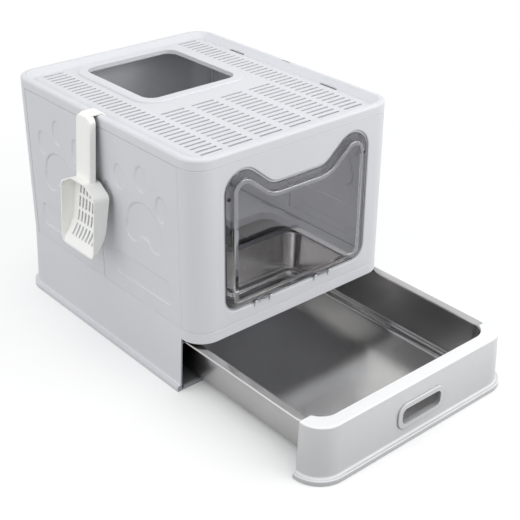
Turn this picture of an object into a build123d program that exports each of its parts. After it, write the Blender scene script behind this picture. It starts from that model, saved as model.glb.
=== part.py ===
from build123d import *
from math import radians, tan
import os

# Drawer litter box. Millimetres, +Z up, front of the box towards -Y.
# Origin: middle of the closed box's footprint, on the floor.

# ---- Plan of the closed box ----
BODY_WIDTH = 410
BODY_DEPTH = 508
CORNER_RADIUS = 38

# ---- Heights of the stacked pieces ----
BASE_HEIGHT = 115
WALL_HEIGHT = 273
LID_HEIGHT = 18

# ---- Clearances ----
SEAT_GAP = 0.3
PIN_CLEARANCE = 0.05
PANEL_GAP = 0.15
KNUCKLE_GAP = 0.4

# ---- Base: a drafted tub with a flared foot ----
BASE_WALL = 2.8
BASE_DRAFT = 5
FLOOR_THICK = 3
SKIRT_HEIGHT = 9
SKIRT_PROUD = 6
SKIRT_FILLET = 7
SKIRT_ROUND = 2
RAIL_HEIGHT = 18
RAIL_FLANGE = 8
RAIL_FLANGE_THICK = 2.5
MOUTH_BEHIND_SEAM = 2
SILL_DEPTH = 5
SILL_HEIGHT = 3
SHELF_DROP = 9
SHELF_THICK = 3
SHELF_WIDTH = 10
RUNNER_THICK = 5

# ---- Deck: a ledge round the litter opening and a platform behind it ----
DECK_SHEET = 2.3
DECK_LEDGE = 21
DECK_CURB = 2
DECK_OPENING_REAR = 28
DECK_OPENING_RADIUS = 30
DECK_LIP_DEPTH = 15
DECK_SLOT_LENGTH = 44
DECK_SLOT_WIDTH = 3.5
DECK_SLOT_MIDDLE = 10
DECK_SLOT_SPACING = 66

# ---- Wall panels ----
WALL_SKIN = 3
BAND_THICK = 5
BAND_WIDTH = 12
TONGUE_THICK = 2
TOP_TONGUE = 3.5
BOTTOM_TONGUE = 3
SEAM_BEHIND_CORNER = 1
SEAM_BEVEL = 0.8
RELIEF_DEPTH = 1.2

# ---- Corner hinges ----
HINGE_INSET = 5
KNUCKLE_RADIUS = 3.2
HINGE_PIN_RADIUS = 1.25
KNUCKLE_COUNT = 6
HINGE_END_MARGIN = 2

# ---- Paw and bar pressed into each half of a side wall: from the fold, and above the base ----
BAR_NEAR = 41
BAR_FAR = 190
BAR_LOW = 29
BAR_HIGH = 70
BAR_RADIUS = 10
PAD_FROM_FOLD = 123
PAD_ABOVE_BASE = 145
PAD_HALF_WIDTH = 45
PAD_RISE = 36
PAD_SHOULDER_DROP = 8
PAD_LOBE_DROP = 38
PAD_LOBE_OUT = 36
PAD_NOTCH_HALF = 13
PAD_NOTCH_DROP = 28
PAD_NOTCH_TOP = 22
TOE_HALF_WIDTH = 13.5
TOE_HALF_HEIGHT = 21
TOE_PLACES = [(171, 188), (120, 221), (62, 206), (24, 165)]

# ---- Front window, shaped as a head with two ears ----
WINDOW_HALF_WIDTH = 147
WINDOW_ABOVE_SEAM = 24
WINDOW_BELOW_TOP = 17
WINDOW_VALLEY_DROP = 39
EAR_PEAK_IN = 46
VALLEY_IN = 93
WINDOW_FOOT_RADIUS = 22
EAR_OUTER_RADIUS = 33
EAR_INNER_RADIUS = 34
VALLEY_RADIUS = 36
WINDOW_EDGE = 5
WINDOW_EDGE_ROUND = 2.4
LEDGE_REACH = 1.5
LEDGE_THICK = 3
COLLAR_THICK = 2.5

# ---- Clear flap, hinged along its foot ----
FLAP_GAP = 3
FLAP_SHEET = 2
FLAP_RECESS = 0.5
FLAP_FLANGE = 12
FLAP_WALL = 2
FLAP_PANE_PROUD = 6
FLAP_PANE_ROUND = 2.6
FLAP_BARREL_RADIUS = 1.9
FLAP_BARREL_LENGTH = 25
FLAP_BARREL_PLACES = [-73, 55]
FLAP_BARREL_PROUD = 1.8
FLAP_PIN_RADIUS = 0.9
FLAP_LUG_LENGTH = 5
FLAP_TAB_HEIGHT = 4
FLAP_LUG_FOOT = 8
FLAP_NIB_RADIUS = 3
FLAP_NIB_PROUD = 1.5
FLAP_NIB_DROP = 40

# ---- Lid ----
SKIRT_WALL = 2.5
LID_EDGE_ROUND = 5
LID_RIM_INSET = 10
LID_GUTTER_INSET = 21
LID_GUTTER_DROP = 11
LID_FIELD_INSET = 30
LID_FIELD_DROP = 8.5
LID_UNDERSIDE = 5
LID_RIM_ROOF = 3.5
LID_RIM_WEB = 2.5
OPENING_HALF_WIDTH = 94.5
OPENING_DEPTH = 196
OPENING_REAR_MARGIN = 50
OPENING_RADIUS = 22
OPENING_LIP_WIDTH = 17
OPENING_LIP_PROUD = 3
OPENING_LIP_ROUND = 2.6
SLOT_PITCH = 12.9
SLOT_WIDTH = 4.5
SLOT_SIDE_MARGIN = 40
SLOT_END_MARGIN = 34
SLOT_LIP_MARGIN = 30
SLOT_HALF_RIB = 7.5
SLOT_RIBS = [14.5, 11]
SLOT_SHARES = [0.341, 0.356, 0.303]
CLIP_SLOT_INSET = 21
CLIP_SLOT_WIDTH = 4
CLIP_SLOT_LENGTH = 40
CLIP_SLOT_FROM_MIDDLE = 121
RIM_SLOT_INSET = 8
RIM_SLOT_WIDTH = 3
RIM_SLOT_LENGTH = 21

# ---- Drawer, drawn out ----
DRAWER_OUT = 272
FRONT_WALL = 3
DRAWER_SEAM = 0.6
FRONT_TOP_GAP = 1.6
FRONT_BOTTOM_GAP = 1
FRONT_FLANGE_THICK = 3.2
FRONT_TOP_ROUND = 2.5
GRIP_OFFSET = 3
GRIP_WIDTH = 84
GRIP_HEIGHT = 27
GRIP_RADIUS = 8.5
GRIP_ABOVE_FLOOR = 46
GRIP_FRAME = 9
GRIP_PROUD = 2.5
GRIP_ROUND = 1.2
GRIP_COLLAR = 3
GRIP_COLLAR_DEPTH = 7

# ---- Steel pan ----
PAN_SHEET = 1.2
PAN_RIM = 15
PAN_SIDE_GAP = 2
PAN_SIDE_GROWTH = 1
PAN_FRONT_SETBACK = 21
PAN_REAR_SETBACK = 18.5
PAN_CORNER = 33
PAN_DRAFT = 8
PAN_FLOOR_ABOVE = 8
PAN_LEDGE_ABOVE = 11
PAN_LEDGE_WIDTH = 8
PAN_FLOOR_DRAFT = 3.5
PAN_BEAD = 3
PAN_BEAD_DEPTH = 4
PAN_BEAD_ROUND = 1.3

# ---- Scoop, hung on the left rim of the lid: depths below the lid's top ----
SCOOP_MIDDLE = 3
SCOOP_SHEET = 2.4
SCOOP_TILT = 4.5
HANDLE_OFF_WALL = 6.5
HANDLE_WIDTH = 40
HANDLE_DEPTH = 11.5
HANDLE_FOOT = 110
HANDLE_ROUND = 3
HANDLE_CROWN = 12
HOOK_WIDTH = 26
HOOK_OUTER_BEND = 9
HOOK_INNER_BEND = 4
HOOK_DROP = 5.5
HEAD_WIDTH = 100
HEAD_TIP_WIDTH = 95
HEAD_SHOULDER = 106
HEAD_HEEL = 121
HEAD_TIP = 228
HEAD_DEPTH = 31
HEAD_FLARE = 0.5
HEAD_RADIUS = 14
HEAD_BACK_SET = 9
FLOOR_STRAIGHT = 176
FLOOR_LEAN = 7
FLOOR_CURL = 28
FLOOR_CURL_RADIUS = 70
SCOOP_SLOT_WIDTH = 4.6
SCOOP_SLOT_LENGTH = 19
SCOOP_SLOT_PITCH = 9.4
SCOOP_SLOT_COLUMNS = 7
SCOOP_SLOT_ROWS = 4
SCOOP_SLOT_ROW_PITCH = 23.5
SCOOP_SLOT_TOP = 132

# ---- Values that follow ----
HALF_WIDTH = BODY_WIDTH / 2
HALF_DEPTH = BODY_DEPTH / 2
WALL_TOP = BASE_HEIGHT + WALL_HEIGHT
LID_TOP = WALL_TOP + LID_HEIGHT
CORNER_SEAM = HALF_DEPTH - CORNER_RADIUS - SEAM_BEHIND_CORNER
HINGE_X = HALF_WIDTH - HINGE_INSET
HINGE_Y = CORNER_SEAM
MOUTH_EDGE = CORNER_SEAM - MOUTH_BEHIND_SEAM
MOUTH_TOP = BASE_HEIGHT - RAIL_HEIGHT
RELIEF_RADIUS = KNUCKLE_RADIUS + KNUCKLE_GAP
DECK_BOTTOM = BASE_HEIGHT - SHELF_DROP
DECK_TOP = DECK_BOTTOM + DECK_SHEET
CURB_TOP = DECK_TOP + DECK_CURB
FRONT_TOP = MOUTH_TOP - FRONT_TOP_GAP
PAN_TOP = FRONT_TOP - FRONT_FLANGE_THICK - SEAT_GAP
WINDOW_FOOT = BASE_HEIGHT + WINDOW_ABOVE_SEAM
OPENING_REAR = HALF_DEPTH - OPENING_REAR_MARGIN
OPENING_FRONT = OPENING_REAR - OPENING_DEPTH
CLEAR_OF_ALL = BODY_DEPTH + BODY_WIDTH


def plan(inset, height):
    """Outline of the closed box seen from above, moved inwards by inset."""
    width = BODY_WIDTH - 2 * inset
    depth = BODY_DEPTH - 2 * inset
    return Pos(0, 0, height) * RectangleRounded(width, depth, CORNER_RADIUS - inset)


def plan_block(inset, low, high):
    """Straight-sided block on the box's outline."""
    return extrude(plan(inset, low), amount=high - low)


def eased_block(low, high):
    """Straight-sided block on the box's outline, bevelled along its low and high edge."""
    block = plan_block(0, low, high)
    rims = edges_at(block, low, -SEAT_GAP, SEAT_GAP) + edges_at(block, high, -SEAT_GAP, SEAT_GAP)
    return chamfer(rims, SEAM_BEVEL)


def drafted_block(low_inset, low, high_inset, high):
    """Block whose sides lean from one inset to another."""
    return loft([plan(low_inset, low), plan(high_inset, high)], ruled=True)


def span(x_low, x_high, y_low, y_high, z_low, z_high):
    """Box between two corners."""
    size = (x_high - x_low, y_high - y_low, z_high - z_low)
    middle = ((x_low + x_high) / 2, (y_low + y_high) / 2, (z_low + z_high) / 2)
    return Pos(*middle) * Box(*size)


def beyond_seam(sign, seam, low, high):
    """Everything in front of (-1) or behind (+1) a seam across the box."""
    near, far = sorted((sign * seam, sign * CLEAR_OF_ALL))
    return span(-CLEAR_OF_ALL, CLEAR_OF_ALL, near, far, low, high)


def outward_distance(point):
    """Distance of a point outside the box's outline, seen from above."""
    over_x = abs(point.X) - (HALF_WIDTH - CORNER_RADIUS)
    over_y = abs(point.Y) - (HALF_DEPTH - CORNER_RADIUS)
    reach = (max(over_x, 0) ** 2 + max(over_y, 0) ** 2) ** 0.5
    return reach + min(max(over_x, over_y), 0) - CORNER_RADIUS


def edges_at(shape, height, low_reach, high_reach):
    """Edges in one level plane whose middle lies between two distances outside the outline."""
    flat = shape.edges().filter_by_position(Axis.Z, height - SEAT_GAP / 10, height + SEAT_GAP / 10)
    return [edge for edge in flat if low_reach < outward_distance(edge @ 0.5) < high_reach]


def upright(sketch, y_plane):
    """Stand a sketch drawn as (x, z) in an upright plane facing the front."""
    return Plane(origin=(0, y_plane, 0), x_dir=(1, 0, 0), z_dir=(0, -1, 0)) * sketch


def upright_block(sketch, y_front, y_rear):
    """Extrude an (x, z) sketch from its rear plane to its front plane."""
    return extrude(upright(sketch, y_rear), amount=y_rear - y_front)


# ---- Base ----
def base_growth(height):
    """How far the drafted base stands outside the outline at a height."""
    return BASE_DRAFT * (BASE_HEIGHT - height) / BASE_HEIGHT


def base_envelope():
    """Outside of the base: drafted sides that run into a flared foot."""
    bevel = BASE_HEIGHT - SEAM_BEVEL
    body = drafted_block(-base_growth(0), 0, -base_growth(bevel), bevel)
    body += drafted_block(-base_growth(bevel), bevel, SEAM_BEVEL, BASE_HEIGHT)
    body += plan_block(-BASE_DRAFT - SKIRT_PROUD, 0, SKIRT_HEIGHT)
    middle = BASE_DRAFT + SKIRT_PROUD / 2
    body = fillet(edges_at(body, SKIRT_HEIGHT, middle, CLEAR_OF_ALL), SKIRT_ROUND)
    root = edges_at(body, SKIRT_HEIGHT, 0, middle)
    return fillet(root, min(SKIRT_FILLET, SKIRT_PROUD - SKIRT_ROUND - SEAT_GAP))


def base_hollow(wall, low, high):
    """Space inside the drafted sides, one wall thickness in."""
    return drafted_block(wall - base_growth(low), low, wall - base_growth(high), high)


def base_housing():
    """Tub with an open mouth for the drawer, a rail over it and a shelf for the deck."""
    shelf_low = DECK_BOTTOM - SHELF_THICK
    body = base_envelope()
    body -= base_hollow(BASE_WALL, FLOOR_THICK, shelf_low)
    body -= plan_block(BASE_WALL + SHELF_WIDTH, shelf_low, DECK_BOTTOM)
    body -= plan_block(BASE_WALL, DECK_BOTTOM, BASE_HEIGHT)
    body -= beyond_seam(-1, MOUTH_EDGE, 0, MOUTH_TOP)
    flange = plan_block(0, MOUTH_TOP, MOUTH_TOP + RAIL_FLANGE_THICK)
    flange -= plan_block(RAIL_FLANGE, MOUTH_TOP, MOUTH_TOP + RAIL_FLANGE_THICK)
    body += flange & beyond_seam(-1, MOUTH_EDGE, MOUTH_TOP, BASE_HEIGHT)
    inner = HALF_WIDTH - BASE_WALL / 2
    sill_top = FLOOR_THICK + SILL_HEIGHT
    body += span(-inner, inner, -MOUTH_EDGE, SILL_DEPTH - MOUTH_EDGE, 0, sill_top)
    for side in (-1, 1):
        body += drawer_runner(side)
    return body


def drawer_runner(side):
    """Ledge on the inside of a base wall that carries the rolled rim of the pan."""
    top = PAN_TOP - PAN_BEAD_DEPTH - SEAT_GAP
    outer = HALF_WIDTH + base_growth(top) - BASE_WALL / 2
    inner = HALF_WIDTH - BASE_WALL - PAN_SIDE_GAP - PAN_RIM + 2 * PAN_BEAD
    x_low, x_high = sorted((side * inner, side * outer))
    rear = HALF_DEPTH - CORNER_RADIUS
    return span(x_low, x_high, SILL_DEPTH - MOUTH_EDGE, rear, top - RUNNER_THICK, top)


# ---- Deck ----
def deck_opening(grow, low, high):
    """Opening over the litter, or the same shape grown outwards."""
    half = HALF_WIDTH - BASE_WALL - DECK_LEDGE + grow
    front = -(HALF_DEPTH - BASE_WALL - DECK_LEDGE) - grow
    rear = DECK_OPENING_REAR + grow
    outline = RectangleRounded(2 * half, rear - front, DECK_OPENING_RADIUS + grow)
    return extrude(Pos(0, (front + rear) / 2, low) * outline, amount=high - low)


def deck_frame():
    """Ledge with a curb round the litter opening, and a platform under the top entry."""
    outer = BASE_WALL + SEAT_GAP
    lip_foot = CURB_TOP - DECK_LIP_DEPTH
    curb_body = plan_block(outer, DECK_BOTTOM, CURB_TOP)
    curb = deck_opening(DECK_LEDGE, DECK_BOTTOM, CURB_TOP) & curb_body
    pocket = deck_opening(DECK_LEDGE - DECK_SHEET, DECK_BOTTOM, CURB_TOP - DECK_SHEET)
    pocket &= plan_block(outer + DECK_SHEET, DECK_BOTTOM, CURB_TOP - DECK_SHEET)
    deck = plan_block(outer, DECK_BOTTOM, DECK_TOP) + curb - pocket
    deck += deck_opening(DECK_SHEET, lip_foot, CURB_TOP)
    deck -= deck_opening(0, lip_foot, CURB_TOP)
    for side in (-1, 1):
        for step in (-1, 1):
            middle = DECK_SLOT_MIDDLE + step * DECK_SLOT_SPACING / 2
            x_slot = side * (HALF_WIDTH - outer - 2 * DECK_SHEET)
            slot = SlotOverall(DECK_SLOT_LENGTH, DECK_SLOT_WIDTH, rotation=90)
            slot = Pos(x_slot, middle, DECK_BOTTOM) * slot
            deck -= extrude(slot, amount=CURB_TOP - DECK_BOTTOM)
    return deck


# ---- Corner hinges ----
def knuckle_span(index):
    """Low and high end of one of the alternating hinge stretches."""
    low = BASE_HEIGHT + HINGE_END_MARGIN
    step = (WALL_HEIGHT - 2 * HINGE_END_MARGIN) / KNUCKLE_COUNT
    return low + index * step, low + (index + 1) * step


def hinge_cylinder(x_sign, y_sign, radius, low, high):
    """Cylinder on a corner hinge's axis."""
    place = Pos(x_sign * HINGE_X, y_sign * HINGE_Y, low)
    return place * Cylinder(radius, high - low, align=(Align.CENTER, Align.CENTER, Align.MIN))


def with_knuckles(panel, corners, own_parity):
    """Add a panel's own knuckles at its corner hinges and clear room for its neighbour's."""
    for x_sign, y_sign in corners:
        for index in range(KNUCKLE_COUNT):
            low, high = knuckle_span(index)
            if index % 2 == own_parity:
                trim = KNUCKLE_GAP / 2
                panel += hinge_cylinder(x_sign, y_sign, KNUCKLE_RADIUS, low + trim, high - trim)
            else:
                panel -= hinge_cylinder(x_sign, y_sign, RELIEF_RADIUS, low, high)
        bore = HINGE_PIN_RADIUS + PIN_CLEARANCE
        panel -= hinge_cylinder(x_sign, y_sign, bore, BASE_HEIGHT + SEAT_GAP, WALL_TOP)
    return panel


def hinge_pin(x_sign, y_sign):
    """Steel pin through one corner's knuckles, standing in the closed end of its bore."""
    low = BASE_HEIGHT + 2 * SEAT_GAP
    return hinge_cylinder(x_sign, y_sign, HINGE_PIN_RADIUS, low, WALL_TOP - SEAT_GAP)


# ---- Side walls ----
def paw_pad():
    """Main pad of the paw, as (distance from the fold, height)."""
    shoulder = -PAD_SHOULDER_DROP
    crown = ThreePointArc((-PAD_HALF_WIDTH, shoulder), (0, PAD_RISE), (PAD_HALF_WIDTH, shoulder))
    notch_left = (-PAD_NOTCH_HALF, -PAD_NOTCH_DROP)
    notch_right = (PAD_NOTCH_HALF, -PAD_NOTCH_DROP)
    right = ThreePointArc((PAD_HALF_WIDTH, shoulder), (PAD_LOBE_OUT, -PAD_LOBE_DROP), notch_right)
    notch = ThreePointArc(notch_right, (0, -PAD_NOTCH_TOP), notch_left)
    left = ThreePointArc(notch_left, (-PAD_LOBE_OUT, -PAD_LOBE_DROP), (-PAD_HALF_WIDTH, shoulder))
    return make_face([crown, right, notch, left])


def side_relief():
    """Shapes pressed into half a side wall, as (distance from the fold, height above the base)."""
    bar = RectangleRounded(BAR_FAR - BAR_NEAR, BAR_HIGH - BAR_LOW, BAR_RADIUS)
    shapes = [Pos((BAR_NEAR + BAR_FAR) / 2, (BAR_LOW + BAR_HIGH) / 2) * bar]
    shapes.append(Pos(PAD_FROM_FOLD, PAD_ABOVE_BASE) * paw_pad())
    for from_fold, height in TOE_PLACES:
        shapes.append(Pos(from_fold, height) * Ellipse(TOE_HALF_WIDTH, TOE_HALF_HEIGHT))
    return shapes


def half_side_rear_right():
    """Half a side wall: the one behind the fold on the right."""
    fold = PANEL_GAP / 2
    end = CORNER_SEAM - PANEL_GAP
    skin_x = HALF_WIDTH - WALL_SKIN
    band_x = HALF_WIDTH - BAND_THICK
    panel = span(band_x, HALF_WIDTH, fold, end, BASE_HEIGHT, WALL_TOP)
    panel = chamfer(panel.faces().sort_by(Axis.X)[-1].edges(), SEAM_BEVEL)
    low = BASE_HEIGHT + BAND_WIDTH
    high = WALL_TOP - BAND_WIDTH
    panel -= span(band_x, skin_x, fold + BAND_WIDTH, end - BAND_WIDTH, low, high)
    outside = Plane(origin=(HALF_WIDTH, 0, BASE_HEIGHT), x_dir=(0, 1, 0), z_dir=(1, 0, 0))
    inside = Plane(origin=(skin_x, 0, BASE_HEIGHT), x_dir=(0, 1, 0), z_dir=(1, 0, 0))
    for shape in side_relief():
        panel += extrude(inside * shape, amount=-RELIEF_DEPTH)
    for shape in side_relief():
        panel -= extrude(outside * shape, amount=-RELIEF_DEPTH)
    top_x = HALF_WIDTH - SKIRT_WALL - SEAT_GAP
    tongue_end = end - RELIEF_RADIUS - PANEL_GAP
    panel += span(top_x - TONGUE_THICK, top_x, fold, tongue_end, high, WALL_TOP + TOP_TONGUE)
    foot_x = HALF_WIDTH - BASE_WALL - SEAT_GAP
    foot = BASE_HEIGHT - BOTTOM_TONGUE
    panel += span(foot_x - TONGUE_THICK, foot_x, fold, tongue_end, foot, low)
    return with_knuckles(panel, [(1, 1)], 0)


# ---- Front and rear panels, each wrapping two corners ----
def corner_panel(y_sign):
    """Upright panel across the box with both rounded corners."""
    keep = beyond_seam(y_sign, CORNER_SEAM, 0, CLEAR_OF_ALL)
    low = BASE_HEIGHT + BAND_WIDTH
    high = WALL_TOP - BAND_WIDTH
    wall = eased_block(BASE_HEIGHT, WALL_TOP) - plan_block(BAND_THICK, BASE_HEIGHT, WALL_TOP)
    pocket = plan_block(WALL_SKIN, low, high) & beyond_seam(y_sign, CORNER_SEAM + BAND_WIDTH, low, high)
    wall -= pocket
    top_inset = SKIRT_WALL + SEAT_GAP
    tongue_low = WALL_TOP - SEAT_GAP
    top_tongue = plan_block(top_inset, tongue_low, WALL_TOP + TOP_TONGUE)
    top_tongue -= plan_block(top_inset + TONGUE_THICK, tongue_low, WALL_TOP + TOP_TONGUE)
    foot_inset = BASE_WALL + SEAT_GAP
    foot_high = BASE_HEIGHT + SEAT_GAP
    foot_tongue = plan_block(foot_inset, BASE_HEIGHT - BOTTOM_TONGUE, foot_high)
    foot_tongue -= plan_block(foot_inset + TONGUE_THICK, BASE_HEIGHT - BOTTOM_TONGUE, foot_high)
    tongue_seam = CORNER_SEAM + RELIEF_RADIUS + PANEL_GAP
    tongues = (top_tongue + foot_tongue) & beyond_seam(y_sign, tongue_seam, 0, CLEAR_OF_ALL)
    panel = (wall & keep) + tongues
    return with_knuckles(panel, [(-1, y_sign), (1, y_sign)], 1)


def window_outline(grow):
    """Outline of the window as (x, z), grown outwards or, below zero, shrunk."""
    half = WINDOW_HALF_WIDTH
    foot = WINDOW_FOOT
    peak = WALL_TOP - WINDOW_BELOW_TOP
    valley = peak - WINDOW_VALLEY_DROP
    right = [(half, foot), (half, peak), (half - EAR_PEAK_IN, peak), (half - VALLEY_IN, valley)]
    left = [(-x, z) for x, z in reversed(right)]
    right_radii = [WINDOW_FOOT_RADIUS, EAR_OUTER_RADIUS, EAR_INNER_RADIUS, VALLEY_RADIUS]
    radii = right_radii + right_radii[::-1]
    wire = FilletPolyline(*right, *left, radius=radii, close=True)
    face = make_face(wire)
    if grow == 0:
        return face
    return offset(face, amount=grow)


def flap_axis_y():
    """The flap's hinge axis lies just in front of the panel."""
    return -HALF_DEPTH - FLAP_BARREL_PROUD


def flap_cylinder(middle, length, radius):
    """Cylinder along the flap's hinge axis."""
    place = Pos(middle, flap_axis_y(), WINDOW_FOOT)
    return place * Rot(0, 90, 0) * Cylinder(radius, length)


def front_panel():
    """Front wall with the eared window, a stop behind the flap and lugs for the flap's pins."""
    panel = corner_panel(-1)
    front = -HALF_DEPTH
    hole = WINDOW_EDGE - WINDOW_EDGE_ROUND
    ledge_front = front + FLAP_RECESS + FLAP_SHEET + SEAT_GAP
    ledge_rear = ledge_front + LEDGE_THICK
    panel += upright_block(window_outline(WINDOW_EDGE + COLLAR_THICK), front + WALL_SKIN / 2, ledge_rear)
    panel -= upright_block(window_outline(hole), front, ledge_front)
    panel -= upright_block(window_outline(-LEDGE_REACH), ledge_front, ledge_rear)
    rim = panel.edges().filter_by_position(Axis.Y, front - SEAT_GAP, front + SEAT_GAP)
    inner = WINDOW_HALF_WIDTH + WINDOW_EDGE
    rim = [edge for edge in rim if abs((edge @ 0.5).X) < inner and abs((edge @ 0).X) < inner]
    top = WALL_TOP - SEAT_GAP
    rim = [edge for edge in rim if BASE_HEIGHT + SEAT_GAP < (edge @ 0.5).Z < top]
    panel = fillet(rim, WINDOW_EDGE_ROUND)
    for middle in FLAP_BARREL_PLACES:
        reach = FLAP_BARREL_LENGTH / 2 + KNUCKLE_GAP
        whole = reach + FLAP_LUG_LENGTH
        foot = WINDOW_FOOT - FLAP_LUG_FOOT
        for low, high in ((middle - whole, middle - reach), (middle + reach, middle + whole)):
            panel += span(low, high, flap_axis_y(), front + SEAT_GAP, foot, WINDOW_FOOT)
            panel += flap_cylinder((low + high) / 2, FLAP_LUG_LENGTH, FLAP_BARREL_RADIUS)
        panel -= flap_cylinder(middle, 2 * whole, FLAP_PIN_RADIUS)
    return panel


def rear_panel():
    """Plain rear wall."""
    return corner_panel(1)


def window_flap():
    """Clear flap: a flange inside the window's edge and a pane raised outwards from it."""
    front = -HALF_DEPTH + FLAP_RECESS
    rear = front + FLAP_SHEET
    edge = WINDOW_EDGE - WINDOW_EDGE_ROUND - FLAP_GAP
    step = edge - FLAP_FLANGE
    pane = upright_block(window_outline(step), front - FLAP_PANE_PROUD, front)
    pane = fillet(pane.faces().sort_by(Axis.Y)[0].edges(), FLAP_PANE_ROUND)
    flap = upright_block(window_outline(edge), front, rear) + pane
    flap -= upright_block(window_outline(step - FLAP_WALL), front - FLAP_PANE_PROUD + FLAP_SHEET, rear)
    tab_low = WINDOW_FOOT + KNUCKLE_GAP
    tab_high = WINDOW_FOOT + FLAP_TAB_HEIGHT
    for middle in FLAP_BARREL_PLACES:
        half = FLAP_BARREL_LENGTH / 2
        flap += span(middle - half, middle + half, flap_axis_y(), rear, tab_low, tab_high)
        flap += flap_cylinder(middle, FLAP_BARREL_LENGTH, FLAP_BARREL_RADIUS)
        flap -= flap_cylinder(middle, FLAP_BARREL_LENGTH, FLAP_PIN_RADIUS + PIN_CLEARANCE)
    for side in (-1, 1):
        x_nib = side * (WINDOW_HALF_WIDTH + edge - FLAP_FLANGE / 2)
        nib = Pos(x_nib, WALL_TOP - WINDOW_BELOW_TOP - FLAP_NIB_DROP) * Circle(FLAP_NIB_RADIUS)
        flap += upright_block(nib, front - FLAP_NIB_PROUD, rear)
    return flap


def flap_pin(middle):
    """Pin through one barrel of the flap and the lugs beside it."""
    return flap_cylinder(middle, FLAP_BARREL_LENGTH + 2 * (KNUCKLE_GAP + FLAP_LUG_LENGTH), FLAP_PIN_RADIUS)


# ---- Lid ----
def slot_columns():
    """Near and far end of each column of slots, from the middle of the lid outwards."""
    room = HALF_WIDTH - SLOT_SIDE_MARGIN - SLOT_HALF_RIB - sum(SLOT_RIBS)
    columns = []
    near = SLOT_HALF_RIB
    for share, rib in zip(SLOT_SHARES, SLOT_RIBS + [0]):
        far = near + share * room
        columns.append((near, far))
        near = far + rib
    return columns


def lid_slots():
    """Long litter slots: a full column at each side, short columns in front of the opening."""
    rows = int((BODY_DEPTH - 2 * SLOT_END_MARGIN) / SLOT_PITCH) + 1
    first = -(rows - 1) / 2 * SLOT_PITCH
    front_end = OPENING_FRONT - OPENING_LIP_WIDTH - SLOT_LIP_MARGIN
    front_rows = int((front_end - first) / SLOT_PITCH) + 1
    columns = slot_columns()
    counts = [front_rows] * (len(columns) - 1) + [rows]
    places = []
    for (near, far), count in zip(columns, counts):
        for row in range(count):
            for side in (-1, 1):
                place = Pos(side * (near + far) / 2, first + row * SLOT_PITCH)
                places.append(place * SlotOverall(far - near, SLOT_WIDTH))
    return places


def lid_clip_slots():
    """Slots in the gutter over the wall clips, and one short slot in each side rim."""
    slots = []
    for side in (-1, 1):
        rim_x = side * (HALF_WIDTH - RIM_SLOT_INSET)
        slots.append(Pos(rim_x, 0) * SlotOverall(RIM_SLOT_LENGTH, RIM_SLOT_WIDTH, rotation=90))
        for end in (-1, 1):
            place = Pos(side * (HALF_WIDTH - CLIP_SLOT_INSET), end * CLIP_SLOT_FROM_MIDDLE)
            slots.append(place * SlotOverall(CLIP_SLOT_LENGTH, CLIP_SLOT_WIDTH, rotation=90))
    return slots


def lid_entry(grow, low, high):
    """Top entry, or the same shape grown outwards."""
    width = 2 * (OPENING_HALF_WIDTH + grow)
    depth = OPENING_REAR - OPENING_FRONT + 2 * grow
    outline = RectangleRounded(width, depth, OPENING_RADIUS + grow)
    return extrude(Pos(0, (OPENING_FRONT + OPENING_REAR) / 2, low) * outline, amount=high - low)


def lid():
    """Slotted lid with a raised rim, a gutter inside it and a top entry."""
    underside = WALL_TOP + LID_UNDERSIDE
    gutter = LID_TOP - LID_GUTTER_DROP
    field = LID_TOP - LID_FIELD_DROP
    body = plan_block(0, WALL_TOP, LID_TOP)
    body = fillet(edges_at(body, LID_TOP, -SEAT_GAP, SEAT_GAP), LID_EDGE_ROUND)
    body = chamfer(edges_at(body, WALL_TOP, -SEAT_GAP, SEAT_GAP), SEAM_BEVEL)
    body -= plan_block(SKIRT_WALL, WALL_TOP, underside)
    dish = drafted_block(LID_GUTTER_INSET, gutter, LID_RIM_INSET, LID_TOP)
    dish -= drafted_block(LID_GUTTER_INSET, gutter, LID_FIELD_INSET, field)
    body -= dish
    roof = LID_TOP - LID_RIM_ROOF
    lean = (LID_GUTTER_INSET - LID_RIM_INSET) / LID_GUTTER_DROP
    web_top = LID_RIM_INSET - LID_RIM_WEB + lean * LID_RIM_ROOF
    web_foot = web_top + lean * (roof - underside)
    hollow = plan_block(SKIRT_WALL, underside, roof) - drafted_block(web_foot, underside, web_top, roof)
    body -= hollow
    lip_top = field + OPENING_LIP_PROUD
    lip = lid_entry(OPENING_LIP_WIDTH, underside, lip_top)
    lip = fillet(lip.faces().sort_by(Axis.Z)[-1].edges(), OPENING_LIP_ROUND)
    body += lip
    body -= lid_entry(0, underside, lip_top)
    cuts = [Pos(0, 0, underside) * slot for slot in lid_slots() + lid_clip_slots()]
    prisms = [extrude(cut, amount=LID_TOP - underside) for cut in cuts]
    return body - prisms


# ---- Drawer ----
def pan_plan(grow, height):
    """Outline of the inside of the pan's mouth in the closed box, grown outwards."""
    half = HALF_WIDTH - BASE_WALL - PAN_SIDE_GAP + PAN_SIDE_GROWTH - PAN_RIM + grow
    front = -(HALF_DEPTH - PAN_FRONT_SETBACK) - grow
    rear = HALF_DEPTH - PAN_REAR_SETBACK + grow
    outline = RectangleRounded(2 * half, rear - front, PAN_CORNER + grow)
    return Pos(0, (front + rear) / 2, height) * outline


def pan_block(low_grow, low, high_grow, high):
    """Drafted block between two pan outlines."""
    return loft([pan_plan(low_grow, low), pan_plan(high_grow, high)], ruled=True)


def pan_body(sheet):
    """The pan's hollow, or its outside when grown by the sheet: walls, ledge and floor recess."""
    ledge = PAN_FLOOR_ABOVE + PAN_LEDGE_ABOVE
    floor = PAN_FLOOR_ABOVE + PAN_SHEET - sheet
    recess = -PAN_DRAFT - PAN_LEDGE_WIDTH + sheet
    walls = pan_block(-PAN_DRAFT + sheet, ledge - sheet, sheet, PAN_TOP)
    return walls + pan_block(recess - PAN_FLOOR_DRAFT, floor, recess, ledge - sheet)


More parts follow.
